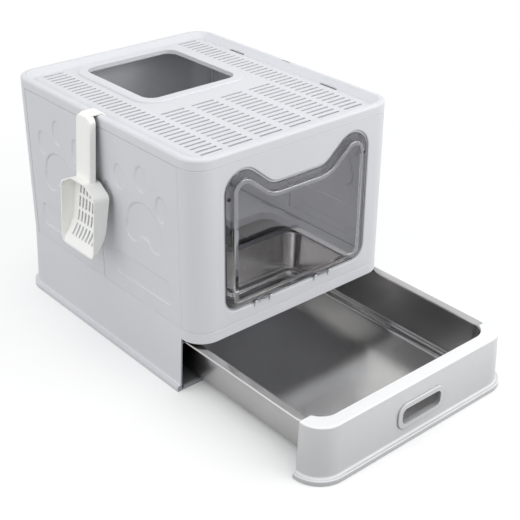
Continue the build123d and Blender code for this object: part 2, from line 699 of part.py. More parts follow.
def litter_pan():
    """Pressed steel pan with a flat rim and a rolled edge."""
    rim_low = PAN_TOP - PAN_SHEET
    rim = extrude(pan_plan(PAN_RIM, rim_low), amount=PAN_SHEET)
    bead_low = PAN_TOP - PAN_BEAD_DEPTH
    bead = extrude(pan_plan(PAN_RIM, bead_low), amount=PAN_BEAD_DEPTH)
    bead -= extrude(pan_plan(PAN_RIM - PAN_BEAD, bead_low), amount=PAN_BEAD_DEPTH)
    bead = fillet(bead.edges().group_by(Axis.Z)[0] + bead.edges().group_by(Axis.Z)[-1], PAN_BEAD_ROUND)
    pan = pan_body(PAN_SHEET) + rim + bead - pan_body(0)
    return Pos(0, -DRAWER_OUT, 0) * pan


def grip_outline(grow):
    """Finger hole as (x, z), grown outwards."""
    width = GRIP_WIDTH + 2 * grow
    height = GRIP_HEIGHT + 2 * grow
    return Pos(GRIP_OFFSET, GRIP_ABOVE_FLOOR) * RectangleRounded(width, height, GRIP_RADIUS + grow)


def drawer_front():
    """Front of the drawer: the base's own profile, wrapping both corners, with a finger hole."""
    seam = MOUTH_EDGE + DRAWER_SEAM
    keep = beyond_seam(-1, seam, FRONT_BOTTOM_GAP, FRONT_TOP)
    body = base_envelope() & keep
    top_edges = edges_at(body, FRONT_TOP, -SEAT_GAP, BASE_DRAFT)
    body = fillet(top_edges, FRONT_TOP_ROUND)
    ceiling = FRONT_TOP - FRONT_FLANGE_THICK
    face_y = -HALF_DEPTH - base_growth(GRIP_ABOVE_FLOOR)
    frame_front = face_y - GRIP_PROUD
    frame = upright_block(grip_outline(GRIP_FRAME), frame_front, -HALF_DEPTH)
    body += fillet(frame.faces().sort_by(Axis.Y)[0].edges(), GRIP_ROUND)
    body -= base_hollow(FRONT_WALL, 0, ceiling)
    collar_rear = face_y + GRIP_COLLAR_DEPTH
    body += upright_block(grip_outline(GRIP_COLLAR), face_y + FRONT_WALL / 2, collar_rear)
    body -= upright_block(grip_outline(0), frame_front, collar_rear)
    body -= extrude(pan_plan(0, ceiling), amount=FRONT_FLANGE_THICK)
    return Pos(0, -DRAWER_OUT, 0) * body


# ---- Scoop ----
def handle_face():
    """Outer face of the handle before it is tilted."""
    return -(HALF_WIDTH + HANDLE_OFF_WALL + HANDLE_DEPTH)


def scoop_plane(x_plane):
    """Upright plane beside the left wall: drawn as (towards the front, depth below the lid top)."""
    return Plane(origin=(x_plane, SCOOP_MIDDLE, LID_TOP), x_dir=(0, -1, 0), z_dir=(-1, 0, 0))


def side_prism(sketch, width):
    """Extrude a side view, drawn as (x, z), across the scoop."""
    place = Plane(origin=(0, SCOOP_MIDDLE + width / 2, 0), x_dir=(1, 0, 0), z_dir=(0, -1, 0))
    return extrude(place * sketch, amount=width)


def head_outline(inset):
    """Outline of the head: wide at the heel, sloped shoulders, narrow at the tip."""
    heel = HEAD_WIDTH / 2 - inset
    tip = HEAD_TIP_WIDTH / 2 - inset
    neck = HANDLE_WIDTH / 2
    shoulder = -HEAD_SHOULDER - inset
    corners = [(-tip, inset - HEAD_TIP), (tip, inset - HEAD_TIP), (heel, -HEAD_HEEL - inset)]
    corners += [(neck, shoulder), (-neck, shoulder), (-heel, -HEAD_HEEL - inset)]
    return make_face(FilletPolyline(*corners, radius=HEAD_RADIUS - SCOOP_SHEET, close=True))


def behind_floor(shift):
    """Side view of everything behind the head's floor, straight at first and then curled outwards."""
    back = head_back() - shift
    lean_x = back - FLOOR_LEAN
    top_z = LID_TOP - HEAD_SHOULDER + HEAD_RADIUS
    bend_z = LID_TOP - FLOOR_STRAIGHT
    tip_z = LID_TOP - HEAD_TIP - HEAD_RADIUS
    straight = Line((back, top_z), (lean_x, bend_z))
    curl = JernArc(start=straight @ 1, tangent=straight % 1, radius=FLOOR_CURL_RADIUS, arc_size=-FLOOR_CURL)
    heading = curl % 1
    end_x = (curl @ 1).X + heading.X / heading.Y * (tip_z - (curl @ 1).Y)
    run_out = Line(curl @ 1, (end_x, tip_z))
    rest = Polyline((end_x, tip_z), (0, tip_z), (0, top_z), (back, top_z))
    return make_face([straight, curl, run_out, rest])


def head_back():
    """Back plane of the head before it is tilted."""
    return handle_face() + HANDLE_DEPTH + HEAD_BACK_SET


def scoop_head():
    """Tray with a sloped heel, flared sides, a curled floor and rows of slots."""
    rim = head_back() - HEAD_DEPTH
    parts = []
    for inset in (0, SCOOP_SHEET):
        frustum = loft([scoop_plane(head_back()) * head_outline(HEAD_FLARE + inset),
                        scoop_plane(rim) * head_outline(inset)], ruled=True)
        parts.append(frustum - side_prism(behind_floor(inset), 2 * HEAD_WIDTH))
    head = parts[0] - parts[1]
    slots = []
    for row in range(SCOOP_SLOT_ROWS):
        for column in range(SCOOP_SLOT_COLUMNS):
            across = (column - (SCOOP_SLOT_COLUMNS - 1) / 2) * SCOOP_SLOT_PITCH
            down = -(SCOOP_SLOT_TOP + row * SCOOP_SLOT_ROW_PITCH)
            slot = Pos(across, down) * SlotOverall(SCOOP_SLOT_LENGTH, SCOOP_SLOT_WIDTH, rotation=90)
            slots.append(extrude(scoop_plane(head_back()) * slot, amount=HEAD_DEPTH))
    return head - slots


def handle_block(inset, foot_z, top_z):
    """Handle as a block with a domed top, or its hollow when inset by the sheet."""
    half = HANDLE_WIDTH / 2 - inset
    low = handle_face() + inset
    high = handle_face() + HANDLE_DEPTH
    block = span(low, high, SCOOP_MIDDLE - half, SCOOP_MIDDLE + half, foot_z, top_z - inset)
    crown = block.edges().filter_by(Axis.X).group_by(Axis.Z)[-1]
    block = fillet(crown, HANDLE_CROWN - inset)
    if inset == 0:
        rim = block.faces().sort_by(Axis.X)[0].edges()
        block = fillet([edge for edge in rim if (edge @ 0.5).Z > foot_z + HANDLE_ROUND], HANDLE_ROUND)
    return block


def scoop():
    """Litter scoop hung by its hook: channel handle, bent hook and slotted tray."""
    over = LID_TOP + SEAT_GAP + SCOOP_SHEET / 2
    bend_x = handle_face() + SCOOP_SHEET / 2
    inside = -(HALF_WIDTH - LID_RIM_INSET) + SEAT_GAP + SCOOP_SHEET / 4
    turn = Pos(bend_x, 0, over) * Rot(0, SCOOP_TILT, 0) * Pos(-bend_x, 0, -over)
    foot_z = LID_TOP - HANDLE_FOOT
    channel = handle_block(0, foot_z, over) - handle_block(SCOOP_SHEET, foot_z, over)
    lower = turn * (channel + scoop_head())
    start_z = over - 2 * HOOK_OUTER_BEND
    lean = (over - start_z) * tan(radians(SCOOP_TILT))
    points = [(bend_x - lean, start_z), (bend_x, over), (inside, over)]
    points.append((inside + HOOK_DROP, over - HOOK_DROP))
    path = FilletPolyline(*points, radius=[HOOK_OUTER_BEND, HOOK_INNER_BEND])
    return lower + side_prism(trace(path, line_width=SCOOP_SHEET), HOOK_WIDTH)


def mirrored(shape, across_width, across_depth):
    """Copy of a rear right piece for another corner."""
    if across_width:
        shape = mirror(shape, about=Plane.YZ)
    if across_depth:
        shape = mirror(shape, about=Plane.XZ)
    return shape


def all_pieces():
    """Every node of the litter box by name."""
    side = half_side_rear_right()
    pieces = {
        "base_housing": base_housing(),
        "deck_frame": deck_frame(),
        "rear_panel": rear_panel(),
        "front_panel": front_panel(),
        "right_rear_side": side,
        "left_rear_side": mirrored(side, True, False),
        "right_front_side": mirrored(side, False, True),
        "left_front_side": mirrored(side, True, True),
        "hinge_pin_rear_left": hinge_pin(-1, 1),
        "hinge_pin_rear_right": hinge_pin(1, 1),
        "hinge_pin_front_left": hinge_pin(-1, -1),
        "hinge_pin_front_right": hinge_pin(1, -1),
        "window_flap": window_flap(),
        "flap_pin_left": flap_pin(FLAP_BARREL_PLACES[0]),
        "flap_pin_right": flap_pin(FLAP_BARREL_PLACES[1]),
        "lid": lid(),
        "drawer_front": drawer_front(),
        "litter_pan": litter_pan(),
        "scoop": scoop(),
    }
    return pieces


os.makedirs("parts", exist_ok=True)
for name, shape in all_pieces().items():
    export_step(shape, "parts/" + name + ".step")
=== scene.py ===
"""Looks of a drawer litter box: finishes, dressed pieces and a soft studio round the model."""

from __future__ import annotations

import logging
import math
from dataclasses import dataclass, field
from enum import Enum
from typing import Sequence

import bmesh
import bpy
import numpy as np
from mathutils import Matrix, Vector

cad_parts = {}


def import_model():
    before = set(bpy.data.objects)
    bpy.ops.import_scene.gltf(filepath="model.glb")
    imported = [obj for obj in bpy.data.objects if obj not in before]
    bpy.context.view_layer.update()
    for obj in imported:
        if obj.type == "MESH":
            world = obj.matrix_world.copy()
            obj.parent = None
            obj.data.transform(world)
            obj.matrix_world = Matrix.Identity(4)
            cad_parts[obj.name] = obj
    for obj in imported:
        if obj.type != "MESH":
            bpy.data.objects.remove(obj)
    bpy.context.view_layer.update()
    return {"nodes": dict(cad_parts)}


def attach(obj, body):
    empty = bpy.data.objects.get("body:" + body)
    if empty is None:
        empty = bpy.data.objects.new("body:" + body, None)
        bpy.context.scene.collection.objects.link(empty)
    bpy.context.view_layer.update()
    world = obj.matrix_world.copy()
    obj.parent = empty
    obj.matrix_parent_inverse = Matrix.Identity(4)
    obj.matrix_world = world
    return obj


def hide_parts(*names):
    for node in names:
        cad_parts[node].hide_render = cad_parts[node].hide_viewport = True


log = logging.getLogger("litter_box")

MM = 0.001
SHUT = 0.06  # share of clear directions at which the painted shade is at its darkest
LOOKS_ROUND = 6  # rays that seek neighbours
PURE_WHITE = (1.0, 1.0, 1.0)
Point2 = tuple[float, float]
Point3 = tuple[float, float, float]
Colour = tuple[float, float, float]
Socket = bpy.types.NodeSocket
Node = bpy.types.Node
Owner = bpy.types.Material | bpy.types.World


class Slot(Enum):
    """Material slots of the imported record, each with one finish."""

    SHELL = "grey_shell"
    INNER = "grey_inner"
    WHITE = "white_plastic"
    SCOOP = "scoop_plastic"
    CLEAR = "clear_plastic"
    PAN = "pan_steel"
    PIN = "pin_steel"


class Body(Enum):
    """Moving bodies that a dressed piece can ride on."""

    LEFT_REAR = "left_rear_wall"
    LEFT_FRONT = "left_front_wall"
    RIGHT_REAR = "right_rear_wall"
    RIGHT_FRONT = "right_front_wall"
    FLAP = "flap"
    DRAWER = "drawer"


# ---- materials ----


def linear(red: int, green: int, blue: int) -> Colour:
    """Turn a display colour, each part from 0 to 255, into the shader's linear colour."""
    shares = [value / 255 for value in (red, green, blue)]
    return tuple(s / 12.92 if s <= 0.04045 else ((s + 0.055) / 1.055) ** 2.4 for s in shares)


@dataclass(frozen=True)
class Noise:
    """Noise: features a metre, octaves, weight of the finer ones and scale along each axis."""

    scale: float
    detail: float = 3.0
    rough: float = 0.55
    stretch: Point3 = (1.0, 1.0, 1.0)


@dataclass(frozen=True)
class PaintedShade:
    """Painted shade: what it leaves of a colour, reach in metres, clear share at which it ends."""

    shade: float
    reach: float
    open_at: float


class NodeSheet:
    """The node tree of a material or a world, with short ways to add and join nodes."""

    def __init__(self, owner: Owner) -> None:
        """Start with an empty node tree.

        Args:
            owner: The material or world.
        """
        self.owner = owner
        owner.use_nodes = True
        self.tree = owner.node_tree
        self.tree.nodes.clear()

    @classmethod
    def material(cls, name: str) -> NodeSheet:
        """Make a material and its empty sheet."""
        return cls(bpy.data.materials.new(name))

    def add(self, kind: str, **settings: object) -> Node:
        """Add a node and set its properties.

        Args:
            kind: Node type, as Blender names it.
            settings: Properties of the node.

        Returns:
            The new node.
        """
        node = self.tree.nodes.new(kind)
        for key, value in settings.items():
            setattr(node, key, value)
        return node

    def join(self, source: Socket, target: Socket) -> None:
        """Link one socket to another."""
        self.tree.links.new(source, target)

    def noise(self, recipe: Noise) -> Socket:
        """Noise fixed to the object.

        Args:
            recipe: The noise's numbers.

        Returns:
            The socket with the noise from 0 to 1.
        """
        where = self.add("ShaderNodeTexCoord")
        mapping = self.add("ShaderNodeMapping")
        mapping.inputs["Scale"].default_value = recipe.stretch
        self.join(where.outputs["Object"], mapping.inputs["Vector"])
        noise = self.add("ShaderNodeTexNoise")
        noise.inputs["Scale"].default_value = recipe.scale
        noise.inputs["Detail"].default_value = recipe.detail
        noise.inputs["Roughness"].default_value = recipe.rough
        self.join(mapping.outputs["Vector"], noise.inputs["Vector"])
        return noise.outputs["Fac"]

    def ramp(self, source: Socket, stops: Sequence[tuple[float, Colour]]) -> Socket:
        """Colour ramp driven by a value.

        Args:
            source: The value from 0 to 1.
            stops: Positions and colours.

        Returns:
            The ramp's colour socket.
        """
        node = self.add("ShaderNodeValToRGB")
        ramp = node.color_ramp
        while len(ramp.elements) < len(stops):
            ramp.elements.new(0.5)
        for element, (position, colour) in zip(ramp.elements, stops):
            element.position = position
            element.color = (*colour, 1.0)
        self.join(source, node.inputs["Fac"])
        return node.outputs["Color"]

    def span(self, source: Socket, ends: Point2) -> Socket:
        """Map a value from 0..1 onto a range.

        Args:
            source: The value.
            ends: Results at 0 and at 1.

        Returns:
            The mapped value's socket.
        """
        node = self.add("ShaderNodeMapRange")
        node.inputs["To Min"].default_value, node.inputs["To Max"].default_value = ends
        self.join(source, node.inputs["Value"])
        return node.outputs["Result"]

    def bump(self, height: Socket, relief: Point2, under: Socket | None = None) -> Socket:
        """Surface relief from a height value.

        Args:
            height: The height socket.
            relief: Strength, and the height in metres that 1 stands for.
            under: A normal that lies under the relief.

        Returns:
            The normal socket.
        """
        node = self.add("ShaderNodeBump")
        node.inputs["Strength"].default_value, node.inputs["Distance"].default_value = relief
        self.join(height, node.inputs["Height"])
        if under is not None:
            self.join(under, node.inputs["Normal"])
        return node.outputs["Normal"]

    def times(self, colour: Socket, level: Socket) -> Socket:
        """Multiply one colour by another.

        Args:
            colour: The first colour's socket.
            level: The second colour's socket.

        Returns:
            The product's socket.
        """
        mix = self.add("ShaderNodeMix", data_type="RGBA", blend_type="MULTIPLY")
        mix.inputs["Factor"].default_value = 1.0
        self.join(colour, mix.inputs["A"])
        self.join(level, mix.inputs["B"])
        return mix.outputs["Result"]

    def clear(self, reach: float) -> Socket:
        """Share of directions in which nothing lies within a reach in metres.

        Args:
            reach: The reach.

        Returns:
            The share's socket.
        """
        node = self.add("ShaderNodeAmbientOcclusion", samples=LOOKS_ROUND)
        node.inputs["Distance"].default_value = reach
        return node.outputs["AO"]

    def paint_shade(self, colour: Socket, painted_shade: PaintedShade) -> Socket:
        """Paint shade into a colour in slots, gaps and closed hollows, where little light comes."""
        stops = [(SHUT, (painted_shade.shade,) * 3), (painted_shade.open_at, PURE_WHITE)]
        return self.times(colour, self.ramp(self.clear(painted_shade.reach), stops))

    def maths(self, operation: str, first: Socket, second: Socket) -> Socket:
        """Join two values.

        Args:
            operation: The Math node's operation.
            first: One value.
            second: The other value.

        Returns:
            The result's socket.
        """
        node = self.add("ShaderNodeMath", operation=operation)
        self.join(first, node.inputs[0])
        self.join(second, node.inputs[1])
        return node.outputs[0]

    def seen_rays(self, path: Node) -> Socket:
        """Join the camera, glossy and transmission rays, which look at the background."""
        either = self.maths("MAXIMUM", path.outputs["Is Camera Ray"], path.outputs["Is Glossy Ray"])
        return self.maths("MAXIMUM", either, path.outputs["Is Transmission Ray"])

    def blend(self, share: Socket, first: Node, second: Node) -> Node:
        """Blend two shaders.

        Args:
            share: Share of the second shader.
            first: The shader at share 0.
            second: The shader at share 1.

        Returns:
            The blend's node.
        """
        node = self.add("ShaderNodeMixShader")
        self.join(share, node.inputs["Fac"])
        self.join(first.outputs[0], node.inputs[1])
        self.join(second.outputs[0], node.inputs[2])
        return node

    def plain(self, kind: str, colour: Colour) -> Node:
        """Add a shader that only takes a colour.

        Args:
            kind: Its node type.
            colour: The colour.

        Returns:
            The node.
        """
        node = self.add(kind)
        node.inputs["Color"].default_value = (*colour, 1.0)
        return node

    def finish(self, shader: Node, kind: str = "Material") -> Owner:
        """Join the shader to the output.

        Args:
            shader: The last shader node.
            kind: Material or World.

        Returns:
            The finished material or world.
        """
        output = self.add(f"ShaderNodeOutput{kind}")
        self.join(shader.outputs[0], output.inputs["Surface"])
        return self.owner


@dataclass(frozen=True)
class MouldedPlastic:
    """Satin moulded plastic with a fine spark-eroded grain, faint sink marks, soft edges and
    painted shade in hollows, slots and gaps.
    """

    name: str
    colour: Colour
    roughness: float = 0.42
    ior: float = 1.49
    edge_radius: float = 0.0007
    edge_looks: int = 4
    room_shade: PaintedShade = PaintedShade(0.3, 0.4, 0.32)
    seam_shade: PaintedShade = PaintedShade(0.1, 0.006, 0.65)
    cloud: Noise = Noise(7.0, 4.0, 0.5)
    cloud_ends: Point2 = (0.25, 0.75)
    shades: Point2 = (0.97, 1.02)
    smear: Noise = Noise(38.0, 5.0, 0.6, (1.0, 1.0, 0.35))
    smear_ends: Point2 = (-0.07, 0.08)
    sink: Noise = Noise(16.0, 1.0)
    sink_relief: Point2 = (0.25, 0.0004)
    grain: Noise = Noise(2600.0, 2.0, 0.5)
    grain_relief: Point2 = (0.35, 0.000035)

    def build(self) -> bpy.types.Material:
        """Make the material.

        Returns:
            The finished material.
        """
        sheet = NodeSheet.material(self.name)
        shader = sheet.add("ShaderNodeBsdfPrincipled")
        shader.inputs["IOR"].default_value = self.ior
        shades = [tuple(min(c * shade, 1.0) for c in self.colour) for shade in self.shades]
        skin_colour = sheet.ramp(sheet.noise(self.cloud), list(zip(self.cloud_ends, shades)))
        # painted shade: darker in closed spaces over a long reach, then in narrow slots and gaps
        shaded = sheet.paint_shade(sheet.paint_shade(skin_colour, self.room_shade), self.seam_shade)
        sheet.join(shaded, shader.inputs["Base Color"])
        low, high = self.smear_ends
        rough = sheet.span(sheet.noise(self.smear), (self.roughness + low, self.roughness + high))
        sheet.join(rough, shader.inputs["Roughness"])
        soft = sheet.add("ShaderNodeBevel", samples=self.edge_looks)
        soft.inputs["Radius"].default_value = self.edge_radius
        sink = sheet.bump(sheet.noise(self.sink), self.sink_relief, soft.outputs["Normal"])
        skin = sheet.bump(sheet.noise(self.grain), self.grain_relief, sink)
        sheet.join(skin, shader.inputs["Normal"])
        return sheet.finish(shader)


@dataclass(frozen=True)
class ClearPlastic:
    """Clear moulded sheet with a faint tint, flow lines and a darker colour where it is seen edge
    on, partly the longer path through the tint and partly painted edge shade.
    """

    name: str
    colour: Colour
    roughness: float = 0.0
    painted_edge_shade: Colour = (0.12, 0.12, 0.14)
    ior: float = 1.49
    tint: Noise = Noise(9.0, 2.0)
    tint_ends: Point2 = (0.3, 0.7)
    tint_gain: float = 1.05
    edge_blend: float = 0.5
    edge_ends: Point2 = (0.45, 0.9)
    smear: Noise = Noise(24.0, 4.0, 0.6)
    smear_gain: float = 0.02
    flow: Noise = Noise(12.0, 1.0)
    flow_relief: Point2 = (0.12, 0.0004)

    def build(self) -> bpy.types.Material:
        """Make the material.

        Returns:
            The finished material.
        """
        sheet = NodeSheet.material(self.name)
        shader = sheet.add("ShaderNodeBsdfPrincipled")
        shader.inputs["IOR"].default_value = self.ior
        shader.inputs["Transmission Weight"].default_value = 1.0
        lighter = tuple(min(c * self.tint_gain, 1.0) for c in self.colour)
        tints = list(zip(self.tint_ends, (self.colour, lighter)))
        clear = sheet.ramp(sheet.noise(self.tint), tints)
        # painted shade: the colour darkens where the sheet is seen edge on
        facing = sheet.add("ShaderNodeLayerWeight")
        facing.inputs["Blend"].default_value = self.edge_blend
        edges = list(zip(self.edge_ends, (PURE_WHITE, self.painted_edge_shade)))
        edge = sheet.ramp(facing.outputs["Facing"], edges)
        sheet.join(sheet.times(clear, edge), shader.inputs["Base Color"])
        ends = (self.roughness, self.roughness + self.smear_gain)
        sheet.join(sheet.span(sheet.noise(self.smear), ends), shader.inputs["Roughness"])
        flow = sheet.bump(sheet.noise(self.flow), self.flow_relief)
        sheet.join(flow, shader.inputs["Normal"])
        return sheet.finish(shader)


@dataclass(frozen=True)
class DrawnSteel:
    """Pressed stainless sheet: satin rolling lines, drawn streaks, soft dents and painted shade in
    its hollows and bends.
    """

    name: str
    colour: Colour
    roughness: float = 0.19
    room_shade: PaintedShade = PaintedShade(0.3, 0.1, 0.5)
    seam_shade: PaintedShade = PaintedShade(0.1, 0.03, 0.9)
    cloud: Noise = Noise(11.0, 3.0)
    cloud_ends: Point2 = (0.3, 0.7)
    shade: float = 0.9
    streak: Noise = Noise(9.0, 4.0, 0.65, (6.0, 220.0, 6.0))
    streak_ends: Point2 = (-0.05, 0.09)
    streak_relief: Point2 = (0.1, 0.0002)
    wave: Noise = Noise(9.0, 1.0)
    wave_relief: Point2 = (0.35, 0.0016)

    def build(self) -> bpy.types.Material:
        """Make the material.

        Returns:
            The finished material.
        """
        sheet = NodeSheet.material(self.name)
        shader = sheet.add("ShaderNodeBsdfPrincipled")
        shader.inputs["Metallic"].default_value = 1.0
        darker = tuple(c * self.shade for c in self.colour)
        shades = list(zip(self.cloud_ends, (darker, self.colour)))
        metal = sheet.ramp(sheet.noise(self.cloud), shades)
        # painted shade: darker in hollows and closed spaces, then along tight bends and gaps
        shaded = sheet.paint_shade(sheet.paint_shade(metal, self.room_shade), self.seam_shade)
        sheet.join(shaded, shader.inputs["Base Color"])
        streak = sheet.noise(self.streak)
        low, high = self.streak_ends
        rough = sheet.span(streak, (self.roughness + low, self.roughness + high))
        sheet.join(rough, shader.inputs["Roughness"])
        wave = sheet.bump(sheet.noise(self.wave), self.wave_relief)
        brushed = sheet.bump(streak, self.streak_relief, wave)
        sheet.join(brushed, shader.inputs["Normal"])
        return sheet.finish(shader)


class FinishBook:
    """Every finish of the litter box, made once."""

    def __init__(self) -> None:
        """Make all the materials."""
        # every plastic and steel finish below paints shade into its colour where little light
        # reaches
        recipes = {
            Slot.SHELL: MouldedPlastic("grey_shell_finish", linear(216, 217, 221)),
            # the deck's finish keeps almost no painted shade over the long reach, so its curb shows
            # lighter than the walls
            Slot.INNER: MouldedPlastic("grey_inner_finish", linear(205, 206, 211), 0.5,
                                       room_shade=PaintedShade(0.95, 0.4, 0.32)),
            # strong painted shade over a long reach darkens the drawer front's face low down, near
            # the floor
            Slot.WHITE: MouldedPlastic("white_front_finish", linear(244, 244, 245), 0.36,
                                       room_shade=PaintedShade(0.2, 0.4, 0.95)),
            # weak painted shade keeps the scoop pale beside the wall
            Slot.SCOOP: MouldedPlastic("scoop_finish", linear(250, 250, 246), 0.34,
                                       room_shade=PaintedShade(0.85, 0.4, 0.32),
                                       seam_shade=PaintedShade(0.8, 0.006, 0.65)),
            Slot.CLEAR: ClearPlastic("clear_flap_finish", (0.925, 0.915, 0.945)),
            Slot.PAN: DrawnSteel("pan_steel_finish", (0.56, 0.555, 0.55)),
            Slot.PIN: DrawnSteel("pin_steel_finish", (0.6, 0.6, 0.62), 0.3,
                                 streak=Noise(9.0, 4.0, 0.65, (60.0, 60.0, 2.0))),
        }
        self.materials = {slot: recipe.build() for slot, recipe in recipes.items()}
        # the lid's copy of the shell finish, a little lighter and with weaker painted shade, so its
        # top and slots show lighter
        self.lid = MouldedPlastic("grey_lid_lit_copy_finish", linear(218, 219, 223),
                                  room_shade=PaintedShade(0.5, 0.4, 0.3), seam_shade=PaintedShade(0.5, 0.006, 0.25)).build()
        # dark copy of the clear finish: painted shade on the flange's outer edge, for the shadowed
        # gap round the flap
        self.clear_painted_shade = ClearPlastic("clear_painted_shade_finish", (0.35, 0.34, 0.38)).build()
        # lighter copy with a raised index: painted glints on the pane's bend
        self.clear_painted_glint = ClearPlastic("clear_painted_glint_finish", (0.97, 0.97, 0.98), ior=2.3).build()

    def dress(self, thing: bpy.types.Object, slot: Slot) -> None:
        """Give an object one finish on every face."""
        thing.data.materials.clear()
        thing.data.materials.append(self.materials[slot])


# ---- mesh work ----


def around(centre: Sequence[float], radius: float, angle: float) -> Point2:
    """Point at a radius and an angle round a centre."""
    return centre[0] + radius * math.cos(angle), centre[1] + radius * math.sin(angle)


def rounded_rectangle(x_low: float, x_high: float, y_low: float, y_high: float,
                      radius: float, steps: int) -> list[Point2]:
    """Outline of a rectangle with round corners, anticlockwise.

    Args:
        x_low: Left side.
        x_high: Right side.
        y_low: Near side.
        y_high: Far side.
        radius: Corner radius.
        steps: Segments a corner.

    Returns:
        The outline's points.
    """
    corners = [(x_high - radius, y_low + radius, -90), (x_high - radius, y_high - radius, 0),
               (x_low + radius, y_high - radius, 90), (x_low + radius, y_low + radius, 180)]
    points = []
    for x, y, start in corners:
        for step in range(steps + 1):
            angle = math.radians(start + 90 * step / steps)
            points.append(around((x, y), radius, angle))
    return points


def circle(centre: Point2, radius: float, sides: int, turn: int = 1) -> list[Point2]:
    """Points round a circle, anticlockwise for a turn of 1 and clockwise for -1."""
    return [around(centre, radius, turn * 2 * math.pi * index / sides) for index in range(sides)]


def softened(path: Sequence[Point2], radii: Sequence[float], steps: int = 6) -> list[Point2]:
    """Round the inner corners of an open path.

    Args:
        path: The path's corners.
        radii: One radius for each inner corner.
        steps: Segments a corner.

    Returns:
        The rounded path.
    """
    points = [path[0]]
    for before, corner, after, radius in zip(path, path[1:], path[2:], radii):
        here = Vector(corner)
        to_before = Vector(before) - here
        to_after = Vector(after) - here
        half = to_before.angle(to_after) / 2
        reach = min(radius / math.tan(half), 0.49 * to_before.length, 0.49 * to_after.length)
        start = here + to_before.normalized() * reach
        end = here + to_after.normalized() * reach
        for step in range(steps + 1):
            share = step / steps
            near = start.lerp(here, share)
            far = here.lerp(end, share)
            points.append(tuple(near.lerp(far, share)))
    points.append(path[-1])
    return points


def placed(name: str, data: bpy.types.ID) -> bpy.types.Object:
    """Put a mesh, a lamp or a camera into the scene.

    Args:
        name: The object's name.
        data: What the object shows.

    Returns:
        The object.
    """
    thing = bpy.data.objects.new(name, data)
    bpy.context.scene.collection.objects.link(thing)
    return thing


class MeshMaker:
    """Gathers points and faces in millimetres and turns them into one object."""

    def __init__(self, name: str) -> None:
        """Start an empty mesh.

        Args:
            name: Name of the piece.
        """
        self.name = name
        self.points: list[Point3] = []
        self.faces: list[tuple[int, ...]] = []

    def ring(self, points: Sequence[Point3]) -> list[int]:
        """Add a row of points.

        Args:
            points: The points.

        Returns:
            Their numbers.
        """
        first = len(self.points)
        self.points.extend(points)
        return list(range(first, len(self.points)))

    def bridge(self, low: Sequence[int], high: Sequence[int], closed: bool = True) -> None:
        """Join two rows of points with faces.

        Args:
            low: One row.
            high: The other row, as long.
            closed: Whether the rows are rings.
        """
        count = len(low) if closed else len(low) - 1
        for index in range(count):
            after = (index + 1) % len(low)
            self.faces.append((low[index], low[after], high[after], high[index]))

    def cap(self, ring: Sequence[int], flip: bool = False) -> None:
        """Close a ring with one face."""
        self.faces.append(tuple(reversed(ring)) if flip else tuple(ring))

    def solid(self, rings: Sequence[Sequence[int]]) -> None:
        """Join rings one after the other and close both ends.

        Args:
            rings: The rings.
        """
        for low, high in zip(rings, rings[1:]):
            self.bridge(low, high)
        self.cap(rings[0], flip=True)
        self.cap(rings[-1])

    def loop(self, rings: list[list[int]]) -> None:
        """Join rings one after the other, and the last to the first."""
        for near, far in zip(rings, rings[1:] + rings[:1]):
            self.bridge(near, far)

    def build(self, sharp_degrees: float = 35.0) -> bpy.types.Object:
        """Make the object with smooth shading below an angle.

        Args:
            sharp_degrees: Edges sharper than this stay crisp.

        Returns:
            The new object.
        """
        mesh = bpy.data.meshes.new(self.name)
        mesh.from_pydata([(x * MM, y * MM, z * MM) for x, y, z in self.points], [], self.faces)
        mesh.validate()
        work = bmesh.new()
        work.from_mesh(mesh)
        bmesh.ops.recalc_face_normals(work, faces=work.faces)
        work.to_mesh(mesh)
        work.free()
        mesh.shade_smooth()
        mesh.set_sharp_from_angle(angle=math.radians(sharp_degrees))
        return placed(self.name, mesh)


# ---- pieces ----


